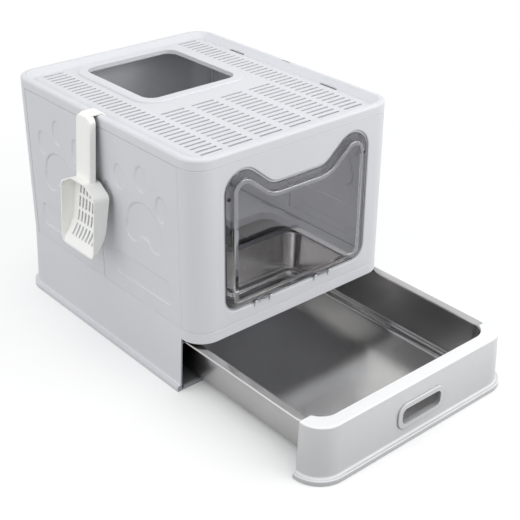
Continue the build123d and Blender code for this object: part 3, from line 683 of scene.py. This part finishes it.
@dataclass
class Pan:
    """Pressed steel pan with radiused bends, a flat rim and a rolled edge."""

    book: FinishBook
    out: float = 272.0
    half_width: float = 186.2
    front: float = -233.0
    rear: float = 235.5
    corner: float = 33.0
    rim: float = 15.0
    top: float = 91.9
    ledge_height: float = 19.0
    floor_height: float = 9.2
    draft: float = 8.0
    ledge: float = 8.0
    recess_draft: float = 3.5
    sheet: float = 1.2
    bead: float = 2.0
    floor_run: float = 10.0
    corner_steps: int = 14
    inner_bends: tuple[float, ...] = (7.0, 4.0, 7.0, 3.5)
    outer_bends: tuple[float, ...] = (2.0, 6.0, 5.0, 6.0)
    roll_steps: int = 8
    roll_degrees: float = 24.0
    sharp_degrees: float = 50.0

    def outline(self, grow: float, height: float) -> list[Point3]:
        """Ring of the pan's outline, grown from its mouth, at a height above the floor."""
        flat = rounded_rectangle(-self.half_width - grow, self.half_width + grow, self.front - grow,
                                 self.rear + grow, self.corner + grow, self.corner_steps)
        return [(x, y - self.out, height) for x, y in flat]

    def profile(self) -> list[Point2]:
        """Section of the sheet from the floor's inside, over the rolled edge, to its underside.

        Returns:
            Pairs of growth and height.
        """
        recess = -self.draft - self.ledge
        foot = recess - self.recess_draft
        inside = [(foot - self.floor_run, self.floor_height), (foot, self.floor_height),
                  (recess, self.ledge_height), (-self.draft, self.ledge_height), (0, self.top),
                  (self.rim - self.bead, self.top)]
        middle = (self.rim - self.bead, self.top - self.bead)
        roll = []
        for step in range(1, self.roll_steps + 1):
            angle = math.radians(90 - self.roll_degrees * step)
            roll.append(around(middle, self.bead, angle))
        under_rim, under_ledge = self.top - self.sheet, self.ledge_height - self.sheet
        under_floor = self.floor_height - self.sheet
        outside = [(self.rim - 2 * self.bead - self.sheet, under_rim), (self.sheet, under_rim),
                   (self.sheet - self.draft, under_ledge), (recess + self.sheet, under_ledge),
                   (recess + self.sheet - self.recess_draft, under_floor),
                   (foot - self.floor_run, under_floor)]
        return softened(inside, self.inner_bends) + roll + softened(outside, self.outer_bends)

    def build(self) -> list[bpy.types.Object]:
        """Make the pan and put it on the drawer.

        Returns:
            The pan.
        """
        maker = MeshMaker("pressed_pan")
        maker.solid([maker.ring(self.outline(grow, height)) for grow, height in self.profile()])
        pan = maker.build(self.sharp_degrees)
        self.book.dress(pan, Slot.PAN)
        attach(pan, Body.DRAWER.value)
        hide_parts("litter_pan")
        return [pan]


@dataclass
class EaredOutline:
    """Outline of the front window: a head with two ears, as (x, height)."""

    half: float = 147.0
    foot: float = 139.0
    peak: float = 371.0
    valley: float = 332.0
    ear_in: float = 46.0
    valley_in: float = 93.0
    radii: tuple[float, ...] = (22.0, 33.0, 34.0, 36.0)
    steps: int = 9

    def grown(self, grow: float) -> list[Point2]:
        """Outline moved outwards, with the same number of points whatever the move.

        Args:
            grow: How far outwards.

        Returns:
            The outline's points, anticlockwise.
        """
        right = [(self.half, self.foot), (self.half, self.peak),
                 (self.half - self.ear_in, self.peak), (self.half - self.valley_in, self.valley)]
        corners = [Vector(p) for p in right] + [Vector((-x, z)) for x, z in reversed(right)]
        radii = list(self.radii) + list(reversed(self.radii))
        count = len(corners)
        points = []
        for index, radius in enumerate(radii):
            here = corners[index]
            along_in = (here - corners[index - 1]).normalized()
            along_out = (corners[(index + 1) % count] - here).normalized()
            off_in = Vector((along_in.y, -along_in.x))
            outward = (off_in + Vector((along_out.y, -along_out.x))).normalized()
            half_turn = along_in.angle(along_out) / 2
            corner = here + outward * grow / math.cos(half_turn)
            side = 1 if along_in.cross(along_out) > 0 else -1
            bend = radius + side * grow
            centre = corner - outward * side * bend / math.cos(half_turn)
            begin = math.atan2(side * off_in.y, side * off_in.x)
            for step in range(self.steps + 1):
                angle = begin + side * 2 * half_turn * step / self.steps
                points.append(around(centre, bend, angle))
        return points


@dataclass
class WindowFlap:
    """Clear flap with a flange, a raised pane, two hinge barrels and two snap buttons."""

    book: FinishBook
    outline: EaredOutline = field(default_factory=EaredOutline)
    front: float = -253.5
    sheet: float = 2.0
    proud: float = 6.0
    edge: float = -0.4
    edge_band: float = 1.3
    step: float = -12.4
    pane_run: float = 7.0
    bends: tuple[float, ...] = (2.2, 1.2, 1.0, 1.0, 0.8, 0.8)
    glint_depth: float = 1.8
    sharp_degrees: float = 40.0
    axis: Point2 = (-255.8, 139.0)
    barrel_radius: float = 1.9
    bore: float = 0.95
    barrel_half: float = 12.5
    barrel_trim: float = 0.4
    barrel_sides: int = 20
    barrels: tuple[float, ...] = (-73.0, 55.0)
    tab_inset: float = 0.5
    tab_lap: tuple[float, float] = (0.6, 0.2)
    tab_heights: tuple[float, ...] = (1.2, 0.5, 3.6, 2.2)
    button: Point3 = (140.6, 331.0, 3.0)
    button_section: tuple[Point2, ...] = ((0.0, 0.0), (0.0, 0.9), (-0.5, 1.4), (-1.4, 1.5))
    button_sides: int = 18
    button_sharp: float = 50.0

    def profile(self) -> list[Point2]:
        """Section of the sheet as (growth, y), from the pane's front round to its back.

        Returns:
            The section's points.
        """
        rear = self.front + self.sheet
        pane_front = self.front - self.proud
        inner = self.step - self.sheet
        middle = self.step - self.pane_run
        path = [(middle, pane_front), (self.step, pane_front), (self.step, self.front),
                (self.edge, self.front), (self.edge, rear), (inner, rear),
                (inner, pane_front + self.sheet), (middle, pane_front + self.sheet)]
        return softened(path, self.bends)

    def pane(self) -> bpy.types.Object:
        """Make the flange and the raised pane.

        Returns:
            The pane's object.
        """
        maker = MeshMaker("clear_flap")
        rings = [maker.ring([(x, y, z) for x, z in self.outline.grown(grow)])
                 for grow, y in self.profile()]
        for low, high in zip(rings, rings[1:]):
            maker.bridge(high, low)
        maker.cap(rings[0])
        maker.cap(rings[-1], flip=True)
        return maker.build(self.sharp_degrees)

    def barrel(self, name: str, middle: float) -> bpy.types.Object:
        """Make one hinge barrel with the tab that carries it.

        Args:
            name: Name of the piece.
            middle: Its middle across the flap.

        Returns:
            The barrel's object.
        """
        maker = MeshMaker(name)
        low, high = middle - self.barrel_half, middle + self.barrel_half
        trim, radius = self.barrel_trim, self.barrel_radius
        section = [(low, self.bore), (low, radius - trim), (low + trim, radius),
                   (high - trim, radius), (high, radius - trim), (high, self.bore)]
        y, z = self.axis
        maker.loop([maker.ring([(x, *p) for p in circle(self.axis, size, self.barrel_sides)])
                    for x, size in section])
        near_y, far_y = y + self.tab_lap[0], self.front + self.tab_lap[1]
        tab = [(end, z + up) for end, up in zip((near_y, far_y, far_y, near_y), self.tab_heights)]
        ends = (low + self.tab_inset, high - self.tab_inset)
        maker.solid([maker.ring([(x, *point) for point in tab]) for x in ends])
        return maker.build(self.sharp_degrees)

    def snap_button(self, name: str, side: int) -> bpy.types.Object:
        """Make one round snap button on the flange.

        Args:
            name: Name of the piece.
            side: -1 for left, 1 for right.

        Returns:
            The button's object.
        """
        across, height, radius = self.button
        maker = MeshMaker(name)
        rings = []
        for grow, out in self.button_section:
            rim = circle((side * across, height), radius + grow, self.button_sides, -1)
            rings.append(maker.ring([(x, self.front - out, z) for x, z in rim]))
        maker.solid(rings)
        return maker.build(self.button_sharp)

    def build(self) -> list[bpy.types.Object]:
        """Make the flap and hang it on its body.

        Returns:
            The flap's pieces.
        """
        pane = self.pane()
        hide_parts("window_flap")
        made = [pane]
        for index, middle in enumerate(self.barrels, 1):
            made.append(self.barrel(f"flap_barrel_{index}", middle))
        for index, side in enumerate((-1, 1), 1):
            made.append(self.snap_button(f"flap_button_{index}", side))
        for piece in made:
            self.book.dress(piece, Slot.CLEAR)
            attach(piece, Body.FLAP.value)
        self.paint_edge_shade_and_glints(pane)
        return made

    def paint_edge_shade_and_glints(self, pane: bpy.types.Object) -> None:
        """Paint shade on the flange's edge with a dark copy of the clear finish, and glints on the
        pane's bend with a lighter, more reflective copy.

        Args:
            pane: The pane, with its main finish.
        """
        section = self.profile()
        glint_from = self.front - self.proud + self.glint_depth
        looks = []
        for here, after in zip(section, section[1:]):
            on_edge = min(here[0], after[0]) > self.edge - self.edge_band
            on_bend = after[1] < glint_from and after[0] > self.step - self.bends[0]
            looks.append(1 if on_edge else 2 if on_bend else 0)
        row = len(self.outline.grown(0.0))
        pane.data.materials.append(self.book.clear_painted_shade)
        pane.data.materials.append(self.book.clear_painted_glint)
        for face in pane.data.polygons[:row * len(looks)]:
            face.material_index = looks[face.index // row]


@dataclass
class PressedRelief:
    """Paw and bar pressed into half a side wall, as depth over (from the fold, above the floor)."""

    depth: float = 1.8
    slope: float = 1.5
    least_slope: float = 1e-6
    bar: tuple[float, float, float, float] = (41.0, 190.0, 144.0, 185.0)
    bar_radius: float = 10.0
    pad: Point2 = (123.0, 260.0)
    toe: Point2 = (13.5, 21.0)
    toes: tuple[Point2, ...] = ((171.0, 303.0), (120.0, 336.0), (62.0, 321.0), (24.0, 280.0))
    pad_arcs: tuple[tuple[Point2, Point2, Point2], ...] = (
        ((-45.0, -8.0), (0.0, 36.0), (45.0, -8.0)), ((45.0, -8.0), (36.0, -38.0), (13.0, -28.0)),
        ((13.0, -28.0), (0.0, -22.0), (-13.0, -28.0)),
        ((-13.0, -28.0), (-36.0, -38.0), (-45.0, -8.0)))

    @staticmethod
    def arc(start: Point2, middle: Point2, end: Point2, steps: int = 14) -> list[Point2]:
        """Points on the arc through three points.

        Args:
            start: First point.
            middle: A point between.
            end: Last point.
            steps: Segments.

        Returns:
            The points without the last one.
        """
        a, b, c = Vector(start), Vector(middle), Vector(end)
        turn = 2 * (a.x * (b.y - c.y) + b.x * (c.y - a.y) + c.x * (a.y - b.y))
        squares = [v.length_squared for v in (a, b, c)]
        x = (squares[0] * (b.y - c.y) + squares[1] * (c.y - a.y) + squares[2] * (a.y - b.y)) / turn
        y = (squares[0] * (c.x - b.x) + squares[1] * (a.x - c.x) + squares[2] * (b.x - a.x)) / turn
        angles = [math.atan2(v.y - y, v.x - x) for v in (a, b, c)]
        sweep = (angles[2] - angles[0]) % (2 * math.pi)
        if (angles[1] - angles[0]) % (2 * math.pi) > sweep:
            sweep -= 2 * math.pi
        radius = math.hypot(a.x - x, a.y - y)
        return [around((x, y), radius, angles[0] + sweep * i / steps) for i in range(steps)]

    def pad_distance(self, across: np.ndarray, up: np.ndarray) -> np.ndarray:
        """Signed distance to the main pad, below zero inside.

        Args:
            across: Distances from the fold.
            up: Heights.

        Returns:
            The distances.
        """
        ring = [point for arc in self.pad_arcs for point in self.arc(*arc)]
        x, y = across - self.pad[0], up - self.pad[1]
        nearest = np.full(x.shape, np.inf)
        inside = np.zeros(x.shape, bool)
        for (ax, ay), (bx, by) in zip(ring, ring[1:] + ring[:1]):
            dx, dy = bx - ax, by - ay
            share = np.clip(((x - ax) * dx + (y - ay) * dy) / (dx * dx + dy * dy), 0, 1)
            nearest = np.minimum(nearest, np.hypot(x - ax - share * dx, y - ay - share * dy))
            crosses = (ay > y) != (by > y)
            rise = dy or 1.0  # a level side is never crossed
            inside ^= crosses & (x < dx * (y - ay) / rise + ax)
        return np.where(inside, -nearest, nearest)

    def sunk(self, across: np.ndarray, up: np.ndarray) -> np.ndarray:
        """Depth of the relief with soft sides.

        Args:
            across: Distances from the fold.
            up: Heights above the floor.

        Returns:
            Depths from 0 to the full depth.
        """
        near, far, low, high = self.bar
        bx = np.abs(across - (near + far) / 2) - (far - near) / 2 + self.bar_radius
        by = np.abs(up - (low + high) / 2) - (high - low) / 2 + self.bar_radius
        nearest = np.hypot(np.maximum(bx, 0), np.maximum(by, 0)) + np.minimum(np.maximum(bx, by), 0)
        nearest = nearest - self.bar_radius
        nearest = np.minimum(nearest, self.pad_distance(across, up))
        wide, tall = self.toe
        for centre, height in self.toes:
            tx, ty = across - centre, up - height
            size = np.hypot(tx / wide, ty / tall)
            slope = np.maximum(np.hypot(tx / wide ** 2, ty / tall ** 2), self.least_slope)
            nearest = np.minimum(nearest, size * (size - 1) / slope)
        share = np.clip(0.5 - nearest / self.slope, 0, 1)
        return self.depth * share * share * (3 - 2 * share)


@dataclass
class SideWalls:
    """Four pressed side panels that fold in the middle of each side."""

    book: FinishBook
    relief: PressedRelief = field(default_factory=PressedRelief)
    outside: float = 205.0
    skin: float = 3.0
    band: float = 5.0
    band_width: float = 12.0
    fold: float = 0.075
    end: float = 214.85
    foot: float = 115.0
    top: float = 388.0
    cell: float = 1.6
    edge_round: float = 0.9
    hinge: Point2 = (200.0, 215.0)
    hinge_room: float = 3.6
    room_slack: float = 0.1
    band_edge: float = 0.4
    border_lines: tuple[float, ...] = (0.0, 0.25, 0.55, 0.95, 2.2, 5.0, 8.5)
    sharp_degrees: float = 32.0
    top_tongue: Point3 = (202.2, 6.0, 3.5)
    foot_tongue: Point3 = (201.9, 3.0, 6.0)
    tongue_thick: float = 2.0
    tongue_clear: tuple[float, float] = (0.5, 0.15)
    knuckle: float = 3.2
    knuckle_bore: float = 1.3
    knuckle_rows: int = 6
    knuckle_inset: float = 2.0
    knuckle_gap: float = 0.2
    knuckle_sides: int = 24
    web_x: Point2 = (200.4, 203.9)
    web_y: Point2 = (208.5, 212.6)

    def lines(self, low: float, high: float) -> np.ndarray:
        """Grid lines across a panel, closer together at its rounded border and at the band's edge.

        Args:
            low: First line.
            high: Last line.

        Returns:
            The lines.
        """
        border = np.array([*self.border_lines, self.band_width - self.band_edge])
        count = round((high - low - 2 * self.band_width) / self.cell)
        inner = np.linspace(low + self.band_width, high - self.band_width, count + 1)
        return np.concatenate([low + border, inner, high - border[::-1]])

    def from_border(self, across: np.ndarray, up: np.ndarray) -> np.ndarray:
        """Distance to the panel's nearest border."""
        return np.minimum(np.minimum(across - self.fold, self.end - across),
                          np.minimum(up - self.foot, self.top - up))

    def outer_depth(self, across: np.ndarray, up: np.ndarray) -> np.ndarray:
        """How far the outside lies in from the wall's plane.

        Args:
            across: Distances from the fold.
            up: Heights.

        Returns:
            The depths, with rounded borders.
        """
        reach = np.clip(self.edge_round - self.from_border(across, up), 0, self.edge_round)
        rounding = self.edge_round - np.sqrt(np.maximum(self.edge_round ** 2 - reach ** 2, 0))
        return self.relief.sunk(across, up) + rounding

    def inner_depth(self, across: np.ndarray, up: np.ndarray) -> np.ndarray:
        """How far the inside lies in from the wall's plane: a band round a thinner skin.

        Args:
            across: Distances from the fold.
            up: Heights.

        Returns:
            The depths, shallower where a neighbour's knuckles turn.
        """
        in_band = self.from_border(across, up) < self.band_width - self.band_edge / 2
        depth = np.where(in_band, self.band, self.skin)
        room = self.outside - self.hinge[0] - self.hinge_room - self.room_slack
        depth = np.where(across > self.hinge[1] - self.hinge_room, room, depth)
        return depth + self.relief.sunk(across, up)

    def panel(self, name: str, side: int, end: int) -> bpy.types.Object:
        """Make one panel.

        Args:
            name: Name of the piece.
            side: -1 for left, 1 for right.
            end: -1 for front, 1 for rear.

        Returns:
            The panel's object.
        """
        maker = MeshMaker(name)
        ys, zs = self.lines(self.fold, self.end), self.lines(self.foot, self.top)
        across, up = np.meshgrid(ys, zs, indexing="ij")
        skins = []
        depths = (self.outer_depth(across, up), self.inner_depth(across, up))
        for depth, turned in zip(depths, (False, True)):
            rows = [maker.ring([(side * (self.outside - deep), end * y, z)
                                for deep, z in zip(column, zs)]) for column, y in zip(depth, ys)]
            for low, high in zip(rows, rows[1:]):
                order = (low, high) if (side * end < 0) != turned else (high, low)
                maker.bridge(*order, closed=False)
            skins.append(rows)
        borders = [self.border(rows) for rows in skins]
        maker.bridge(*(borders if side * end > 0 else borders[::-1]))
        self.tongues(maker, side, end)
        self.knuckles(maker, side, end)
        return maker.build(self.sharp_degrees)

    @staticmethod
    def border(rows: list[list[int]]) -> list[int]:
        """Vertices round the border of a grid, as one ring."""
        foot, far = [row[0] for row in rows], [row[-1] for row in rows]
        return foot[:-1] + rows[-1][:-1] + far[:0:-1] + rows[0][:0:-1]

    def block(self, maker: MeshMaker, low: Sequence[float], high: Sequence[float]) -> None:
        """Add a plain block between two corners."""
        plan = [(low[0], low[1]), (high[0], low[1]), (high[0], high[1]), (low[0], high[1])]
        maker.solid([maker.ring([(x, y, z) for x, y in plan]) for z in (low[2], high[2])])

    def tongues(self, maker: MeshMaker, side: int, end: int) -> None:
        """Add the tongues that stand in the lid and in the base.

        Args:
            maker: The panel's mesh.
            side: -1 for left, 1 for right.
            end: -1 for front, 1 for rear.
        """
        near, far = self.tongue_clear
        ys = sorted((end * (self.fold + near), end * (self.end - self.hinge_room - far)))
        sides = ((self.top_tongue, self.top), (self.foot_tongue, self.foot))
        for (outer, below, above), height in sides:
            xs = sorted((side * (outer - self.tongue_thick), side * outer))
            self.block(maker, (xs[0], ys[0], height - below), (xs[1], ys[1], height + above))

    def knuckles(self, maker: MeshMaker, side: int, end: int) -> None:
        """Add the panel's own knuckles and the webs that carry them.

        Args:
            maker: The panel's mesh.
            side: -1 for left, 1 for right.
            end: -1 for front, 1 for rear.
        """
        stretch = (self.top - self.foot - 2 * self.knuckle_inset) / self.knuckle_rows
        x, y = side * self.hinge[0], end * self.hinge[1]
        xs = sorted(side * value for value in self.web_x)
        ys = sorted(end * value for value in self.web_y)
        for index in range(0, self.knuckle_rows, 2):
            low = self.foot + self.knuckle_inset + index * stretch + self.knuckle_gap
            high = low + stretch - 2 * self.knuckle_gap
            bore, rim = self.knuckle_bore, self.knuckle
            section = ((bore, low), (rim, low), (rim, high), (bore, high))
            maker.loop([maker.ring([(*p, z) for p in circle((x, y), radius, self.knuckle_sides)])
                        for radius, z in section])
            self.block(maker, (xs[0], ys[0], low), (xs[1], ys[1], high))

    def build(self) -> list[bpy.types.Object]:
        """Make the four panels.

        Returns:
            The panels.
        """
        plan = [("left_rear", -1, 1, Body.LEFT_REAR), ("left_front", -1, -1, Body.LEFT_FRONT),
                ("right_rear", 1, 1, Body.RIGHT_REAR), ("right_front", 1, -1, Body.RIGHT_FRONT)]
        made = []
        for name, side, end, body in plan:
            panel = self.panel(f"{name}_pressed_wall", side, end)
            self.book.dress(panel, Slot.SHELL)
            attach(panel, body.value)
            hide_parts(f"{name}_side")
            made.append(panel)
        return made


@dataclass
class CarriedPieces:
    """Every CAD node with its finish, grey shell unless its name starts otherwise."""

    book: FinishBook
    finishes: dict[str, Slot] = field(default_factory=lambda: {
        "deck_frame": Slot.INNER, "window_flap": Slot.CLEAR, "drawer_front": Slot.WHITE,
        "litter_pan": Slot.PAN, "scoop": Slot.SCOOP, "hinge_pin": Slot.PIN, "flap_pin": Slot.PIN})

    def build(self, nodes: dict[str, bpy.types.Object]) -> None:
        """Dress every CAD node.

        Args:
            nodes: The CAD objects by name.
        """
        for name, thing in nodes.items():
            slots = [slot for start, slot in self.finishes.items() if name.startswith(start)]
            self.book.dress(thing, slots[0] if slots else Slot.SHELL)
            log.info("dressed %s", name)
        # the lid takes the lighter copy of the shell finish, with weaker painted shade
        nodes["lid"].data.materials[0] = self.book.lid


# ---- studio ----


@dataclass(frozen=True)
class Softbox:
    """A soft square lamp: its place, the point it looks at, its side in metres and its watts."""

    name: str
    place: Point3
    aim: Point3
    size: float
    power: float

    def build(self) -> None:
        """Hang the lamp."""
        data = bpy.data.lights.new(self.name, "AREA")
        data.shape = "SQUARE"
        data.size = self.size
        data.energy = self.power
        thing = placed(self.name, data)
        thing.location = self.place
        thing.rotation_mode = "QUATERNION"
        thing.rotation_quaternion = (Vector(self.aim) - Vector(self.place)).to_track_quat("-Z", "Y")


@dataclass
class Studio:
    """White floor and background, soft light and the camera."""

    eye: Point3 = (-1.032448, -1.356247, 1.009660)
    right: Point3 = (0.7590147, -0.65103951, 0.00665134)
    up: Point3 = (0.30888276, 0.36906661, 0.8765736)
    back: Point3 = (-0.57313884, -0.66327776, 0.48122186)
    lens: float = 74.2
    clip: tuple[float, float] = (0.05, 50.0)
    sky: float = 0.68
    sky_colour: Colour = (0.97, 0.985, 1.0)
    floor_half: float = 12000.0
    floor_bounce: Colour = (0.36, 0.36, 0.36)
    floor_glow: float = 0.62
    glow_fade: tuple[float, float] = (0.35, 1.1)
    shadow_reach: float = 0.12
    softboxes: tuple[Softbox, ...] = (
        Softbox("front_softbox", (1.1, -1.75, 1.2), (0.0, -0.1, 0.2), 1.6, 24.0),
        Softbox("side_softbox", (-2.2, 0.0, 1.3), (0.0, 0.0, 0.2), 3.2, 25.0),
        Softbox("top_softbox", (0.1, 0.1, 2.3), (0.0, 0.0, 0.3), 1.2, 7.0))

    def camera(self) -> None:
        """Stand the camera where the object is seen from."""
        data = bpy.data.cameras.new("camera")
        data.lens = self.lens
        data.clip_start, data.clip_end = self.clip
        camera = placed("camera", data)
        turn = Matrix((self.right, self.up, self.back)).transposed().to_4x4()
        camera.matrix_world = Matrix.Translation(self.eye) @ turn
        bpy.context.scene.camera = camera

    def world(self) -> None:
        """Even sky light, white where it is seen."""
        sheet = NodeSheet(bpy.data.worlds.new("studio"))
        path = sheet.add("ShaderNodeLightPath")
        lit = sheet.plain("ShaderNodeBackground", self.sky_colour)
        lit.inputs["Strength"].default_value = self.sky
        seen = sheet.plain("ShaderNodeBackground", PURE_WHITE)
        mix = sheet.blend(sheet.seen_rays(path), lit, seen)
        bpy.context.scene.world = sheet.finish(mix, "World")

    def floor(self) -> None:
        """White floor with a pale shadow, which glows white far from the object."""
        maker = MeshMaker("studio_floor")
        half = self.floor_half
        corners = [(-half, -half, 0), (half, -half, 0), (half, half, 0), (-half, half, 0)]
        maker.cap(maker.ring(corners))
        floor = maker.build()
        sheet = NodeSheet.material("studio_floor_finish")
        path = sheet.add("ShaderNodeLightPath")
        where = sheet.add("ShaderNodeTexCoord")
        far = sheet.add("ShaderNodeVectorMath", operation="LENGTH")
        sheet.join(where.outputs["Object"], far.inputs[0])
        fade = sheet.add("ShaderNodeMapRange", interpolation_type="SMOOTHSTEP")
        fade.inputs["From Min"].default_value = self.glow_fade[0]
        fade.inputs["From Max"].default_value = self.glow_fade[1]
        sheet.join(far.outputs["Value"], fade.inputs["Value"])
        unshaded = sheet.clear(self.shadow_reach)
        lit = sheet.maths("MULTIPLY", path.outputs["Is Camera Ray"], unshaded)
        near = sheet.span(lit, (0.0, self.floor_glow))
        share = sheet.maths("MAXIMUM", fade.outputs["Result"], near)
        shaded = sheet.plain("ShaderNodeBsdfDiffuse", PURE_WHITE)
        seen = sheet.blend(share, shaded, sheet.plain("ShaderNodeEmission", PURE_WHITE))
        bounce = sheet.plain("ShaderNodeBsdfDiffuse", self.floor_bounce)
        floor.data.materials.append(sheet.finish(sheet.blend(sheet.seen_rays(path), bounce, seen)))

    def build(self) -> None:
        """Set up the floor, the light and the camera."""
        bpy.context.scene.view_settings.view_transform = "Standard"
        self.camera()
        self.world()
        self.floor()
        for softbox in self.softboxes:
            softbox.build()


def main() -> None:
    """Load the frame, dress every piece and set up the studio."""
    logging.basicConfig(level=logging.INFO, format="%(name)s: %(message)s")
    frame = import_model()
    book = FinishBook()
    CarriedPieces(book).build(frame["nodes"])
    for maker in (Pan(book), WindowFlap(book), SideWalls(book)):
        for piece in maker.build():
            log.info("made %s", piece.name)
    Studio().build()


if __name__ == "__main__":
    main()
